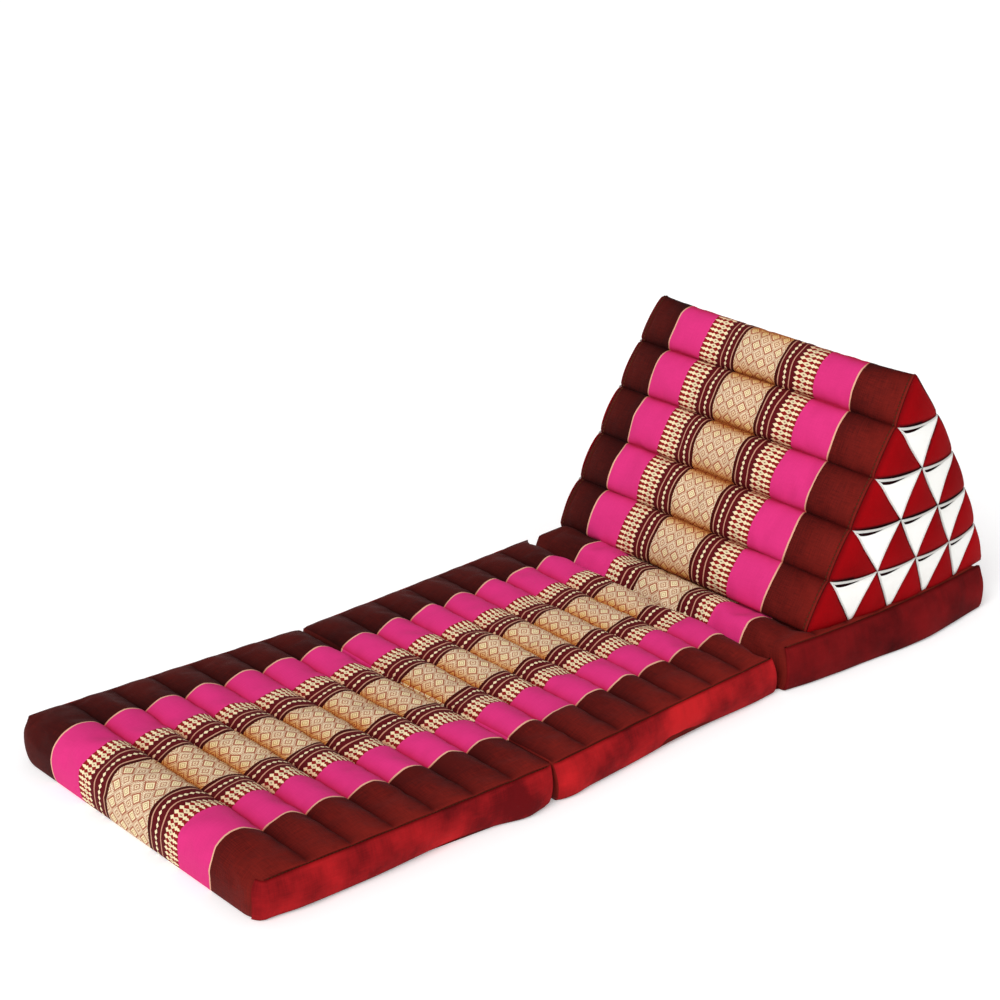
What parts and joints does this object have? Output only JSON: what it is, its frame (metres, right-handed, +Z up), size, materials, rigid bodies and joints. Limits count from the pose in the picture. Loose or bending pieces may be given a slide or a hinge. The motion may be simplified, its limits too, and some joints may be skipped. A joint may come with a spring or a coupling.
{
  "type": "thai triangle cushion with fold-out mat",
  "caption": "Triangular filled backrest of sewn rolls standing on the head of a fold-out roll mat, in striped woven cotton, with pieced triangle ends.",
  "frame": {"origin": "centre of the bounding box's bottom face, on the floor under the middle of the unfolded mat", "axes": "+X from the foot of the mat to its head, where the backrest is, +Y across the mat, +Z up"},
  "size_m": [1.4402, 0.5758, 0.414],
  "materials": {
    "roll_cloth": "striped plain-woven cotton: maroon, magenta, comb-patterned red and cream, gold lattice centre, slight sheen",
    "band_cloth": "plain red woven cotton, matt",
    "end_cloth": "plain deep red woven cotton, matt",
    "white_cloth": "plain white woven cotton, matt"
  },
  "bodies": {
    "root": {"mat_foot": "roll_cloth", "band_foot_near": "band_cloth", "band_foot_far": "band_cloth", "mat_middle": "roll_cloth", "band_middle_near": "band_cloth", "band_middle_far": "band_cloth", "mat_head": "roll_cloth", "band_head_near": "band_cloth", "band_head_far": "band_cloth", "hinge_foot_middle": "roll_cloth", "hinge_middle_head": "roll_cloth", "wedge": "roll_cloth", "end_near": "end_cloth", "pocket_near_1": "white_cloth", "pocket_near_2": "white_cloth", "pocket_near_3": "white_cloth", "pocket_near_4": "white_cloth", "pocket_near_5": "white_cloth", "pocket_near_6": "white_cloth", "pocket_near_7": "white_cloth", "pocket_near_8": "white_cloth", "pocket_near_9": "white_cloth", "pocket_near_10": "white_cloth", "lip_near_1": "white_cloth", "lip_near_2": "white_cloth", "lip_near_3": "white_cloth", "lip_near_4": "white_cloth", "end_far": "end_cloth", "pocket_far_1": "white_cloth", "pocket_far_2": "white_cloth", "pocket_far_3": "white_cloth", "pocket_far_4": "white_cloth", "pocket_far_5": "white_cloth", "pocket_far_6": "white_cloth", "pocket_far_7": "white_cloth", "pocket_far_8": "white_cloth", "pocket_far_9": "white_cloth", "pocket_far_10": "white_cloth", "lip_far_1": "white_cloth", "lip_far_2": "white_cloth", "lip_far_3": "white_cloth", "lip_far_4": "white_cloth"}
  },
  "joints": []
}
